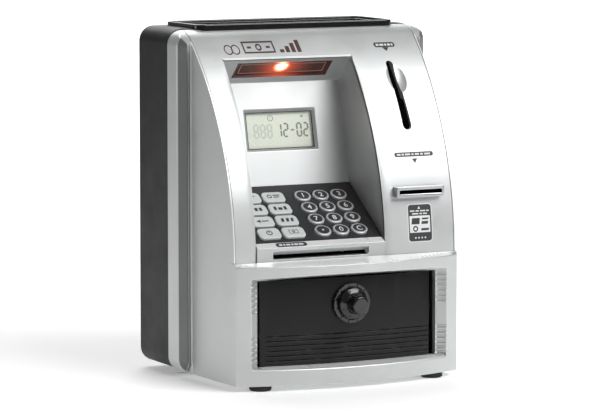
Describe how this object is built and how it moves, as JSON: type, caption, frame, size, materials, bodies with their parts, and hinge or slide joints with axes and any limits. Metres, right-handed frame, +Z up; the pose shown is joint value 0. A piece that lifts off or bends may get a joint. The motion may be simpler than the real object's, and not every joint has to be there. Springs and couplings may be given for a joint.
{
  "type": "toy atm savings bank",
  "caption": "Toy cash machine savings bank with keypad, display, coin, card and note slots, a dial-locked door, rear shell and top tray.",
  "frame": {"origin": "middle of the footprint, on the surface the feet stand on", "axes": "+Z up, the front with the keypad and door faces -Y, +X to the right seen from the front"},
  "size_m": [0.2, 0.1626, 0.2538],
  "materials": {
    "silver_shell": "satin silver lacquer",
    "pale_silver": "satin silver lacquer",
    "black_case": "fine satin texture",
    "black_door": "satin",
    "gloss_black": "gloss",
    "key_black": "satin with printed marks",
    "menu_key": "satin with printed marks",
    "inner_black": "plain moulded",
    "rubber": "matt",
    "lens": "dark red tinted, gloss",
    "clear_window": "clear, gloss",
    "display": "grey-green liquid crystal",
    "led": "tinted, gloss",
    "circuit_board": "green solder mask",
    "chrome": "polished plating",
    "steel": "plain",
    "nylon": "natural",
    "battery_jacket": "printed foil jacket"
  },
  "bodies": {
    "case": {"front_housing": "silver_shell", "fascia_panel": "silver_shell", "console_insert": "pale_silver", "bill_slot_bar": "pale_silver", "rear_case": "black_case", "keypad_plate": "black_case", "top_tray": "gloss_black", "coin_chute": "inner_black", "feed_bracket": "inner_black", "foot_front_left": "rubber", "foot_front_right": "rubber", "foot_rear_left": "rubber", "foot_rear_right": "rubber", "lamp_lens": "lens", "display_window": "clear_window", "display_module": "display", "alarm_led": "led", "main_circuit_board": "circuit_board", "key_circuit_board": "circuit_board", "card_slot_bezel": "chrome", "feed_motor": "steel", "speaker": "steel", "case_screw_lower_left": "steel", "case_screw_lower_right": "steel", "case_screw_upper_left": "steel", "case_screw_upper_right": "steel", "battery_1": "battery_jacket", "battery_2": "battery_jacket", "battery_3": "battery_jacket"},
    "door": {"door_panel": "black_door", "dial_ring": "gloss_black"},
    "dial": {"dial_knob": "gloss_black", "latch_cam": "steel"},
    "battery_cover": {"battery_cover": "black_case", "cover_screw": "steel"},
    "drive_roller": {"drive_roller": "rubber"},
    "pressure_roller": {"pressure_roller": "rubber"},
    "motor_pinion": {"motor_pinion": "nylon"},
    "coin_lever": {"coin_lever": "steel"},
    "card_lever": {"card_lever": "steel"},
    "key_1": {"key_1": "key_black"},
    "key_2": {"key_2": "key_black"},
    "key_3": {"key_3": "key_black"},
    "key_4": {"key_4": "key_black"},
    "key_5": {"key_5": "key_black"},
    "key_6": {"key_6": "key_black"},
    "key_7": {"key_7": "key_black"},
    "key_8": {"key_8": "key_black"},
    "key_9": {"key_9": "key_black"},
    "key_point": {"key_point": "key_black"},
    "key_0": {"key_0": "key_black"},
    "key_clear": {"key_clear": "key_black"},
    "menu_key_1": {"menu_key_1": "menu_key"},
    "menu_key_2": {"menu_key_2": "menu_key"},
    "menu_key_3": {"menu_key_3": "menu_key"},
    "menu_key_4": {"menu_key_4": "menu_key"},
    "menu_key_5": {"menu_key_5": "menu_key"},
    "menu_key_6": {"menu_key_6": "menu_key"},
    "menu_key_7": {"menu_key_7": "menu_key"},
    "menu_key_8": {"menu_key_8": "menu_key"}
  },
  "joints": [
    {"name": "door_hinge", "type": "hinge", "parent": "case", "child": "door", "pos_m": [-0.066, -0.0576, 0.0472], "axis": [0, 0, -1], "range_deg": [0, 105]},
    {"name": "dial_turn", "type": "hinge", "parent": "door", "child": "dial", "pos_m": [0, -0.066, 0.0589], "axis": [0, -1, 0], "continuous": true},
    {"name": "battery_cover_slide", "type": "slide", "parent": "case", "child": "battery_cover", "axis": [0, 1, 0], "range_m": [0, 0.02]},
    {"name": "drive_roller_turn", "type": "hinge", "parent": "case", "child": "drive_roller", "pos_m": [0, -0.03, 0.08815], "axis": [1, 0, 0], "continuous": true},
    {"name": "pressure_roller_turn", "type": "hinge", "parent": "case", "child": "pressure_roller", "pos_m": [0, -0.03, 0.09875], "axis": [1, 0, 0], "continuous": true},
    {"name": "motor_pinion_turn", "type": "hinge", "parent": "case", "child": "motor_pinion", "pos_m": [0.02, -0.02117, 0.08815], "axis": [1, 0, 0], "continuous": true},
    {"name": "coin_lever_swing", "type": "hinge", "parent": "case", "child": "coin_lever", "pos_m": [0.0515, -0.003, 0.202], "axis": [0, 0, -1], "range_deg": [0, 20], "stiffness_Nm_per_rad": 0.002, "springref_deg": -5.73},
    {"name": "card_lever_swing", "type": "hinge", "parent": "case", "child": "card_lever", "pos_m": [0.059, -0.0265, 0.1406], "axis": [1, 0, 0], "range_deg": [0, 35], "stiffness_Nm_per_rad": 0.002, "springref_deg": -5.73},
    {"name": "key_1_press", "type": "slide", "parent": "case", "child": "key_1", "axis": [0, 0.5562, -0.8311], "range_m": [0, 0.0012], "stiffness_N_per_m": 400, "springref_m": -0.0005},
    {"name": "key_2_press", "type": "slide", "parent": "case", "child": "key_2", "axis": [0, 0.5562, -0.8311], "range_m": [0, 0.0012], "stiffness_N_per_m": 400, "springref_m": -0.0005},
    {"name": "key_3_press", "type": "slide", "parent": "case", "child": "key_3", "axis": [0, 0.5562, -0.8311], "range_m": [0, 0.0012], "stiffness_N_per_m": 400, "springref_m": -0.0005},
    {"name": "key_4_press", "type": "slide", "parent": "case", "child": "key_4", "axis": [0, 0.5562, -0.8311], "range_m": [0, 0.0012], "stiffness_N_per_m": 400, "springref_m": -0.0005},
    {"name": "key_5_press", "type": "slide", "parent": "case", "child": "key_5", "axis": [0, 0.5562, -0.8311], "range_m": [0, 0.0012], "stiffness_N_per_m": 400, "springref_m": -0.0005},
    {"name": "key_6_press", "type": "slide", "parent": "case", "child": "key_6", "axis": [0, 0.5562, -0.8311], "range_m": [0, 0.0012], "stiffness_N_per_m": 400, "springref_m": -0.0005},
    {"name": "key_7_press", "type": "slide", "parent": "case", "child": "key_7", "axis": [0, 0.5562, -0.8311], "range_m": [0, 0.0012], "stiffness_N_per_m": 400, "springref_m": -0.0005},
    {"name": "key_8_press", "type": "slide", "parent": "case", "child": "key_8", "axis": [0, 0.5562, -0.8311], "range_m": [0, 0.0012], "stiffness_N_per_m": 400, "springref_m": -0.0005},
    {"name": "key_9_press", "type": "slide", "parent": "case", "child": "key_9", "axis": [0, 0.5562, -0.8311], "range_m": [0, 0.0012], "stiffness_N_per_m": 400, "springref_m": -0.0005},
    {"name": "key_point_press", "type": "slide", "parent": "case", "child": "key_point", "axis": [0, 0.5562, -0.8311], "range_m": [0, 0.0012], "stiffness_N_per_m": 400, "springref_m": -0.0005},
    {"name": "key_0_press", "type": "slide", "parent": "case", "child": "key_0", "axis": [0, 0.5562, -0.8311], "range_m": [0, 0.0012], "stiffness_N_per_m": 400, "springref_m": -0.0005},
    {"name": "key_clear_press", "type": "slide", "parent": "case", "child": "key_clear", "axis": [0, 0.5562, -0.8311], "range_m": [0, 0.0012], "stiffness_N_per_m": 400, "springref_m": -0.0005},
    {"name": "menu_key_1_press", "type": "slide", "parent": "case", "child": "menu_key_1", "axis": [0, 0.5562, -0.8311], "range_m": [0, 0.0012], "stiffness_N_per_m": 400, "springref_m": -0.0005},
    {"name": "menu_key_2_press", "type": "slide", "parent": "case", "child": "menu_key_2", "axis": [0, 0.5562, -0.8311], "range_m": [0, 0.0012], "stiffness_N_per_m": 400, "springref_m": -0.0005},
    {"name": "menu_key_3_press", "type": "slide", "parent": "case", "child": "menu_key_3", "axis": [0, 0.5562, -0.8311], "range_m": [0, 0.0012], "stiffness_N_per_m": 400, "springref_m": -0.0005},
    {"name": "menu_key_4_press", "type": "slide", "parent": "case", "child": "menu_key_4", "axis": [0, 0.5562, -0.8311], "range_m": [0, 0.0012], "stiffness_N_per_m": 400, "springref_m": -0.0005},
    {"name": "menu_key_5_press", "type": "slide", "parent": "case", "child": "menu_key_5", "axis": [0, 0.5562, -0.8311], "range_m": [0, 0.0012], "stiffness_N_per_m": 400, "springref_m": -0.0005},
    {"name": "menu_key_6_press", "type": "slide", "parent": "case", "child": "menu_key_6", "axis": [0, 0.5562, -0.8311], "range_m": [0, 0.0012], "stiffness_N_per_m": 400, "springref_m": -0.0005},
    {"name": "menu_key_7_press", "type": "slide", "parent": "case", "child": "menu_key_7", "axis": [0, 0.5562, -0.8311], "range_m": [0, 0.0012], "stiffness_N_per_m": 400, "springref_m": -0.0005},
    {"name": "menu_key_8_press", "type": "slide", "parent": "case", "child": "menu_key_8", "axis": [0, 0.5562, -0.8311], "range_m": [0, 0.0012], "stiffness_N_per_m": 400, "springref_m": -0.0005}
  ],
  "couplings": [
    {"joint": "pressure_roller_turn", "follows": "drive_roller_turn", "ratio": -1},
    {"joint": "motor_pinion_turn", "follows": "drive_roller_turn", "ratio": -1.5}
  ]
}
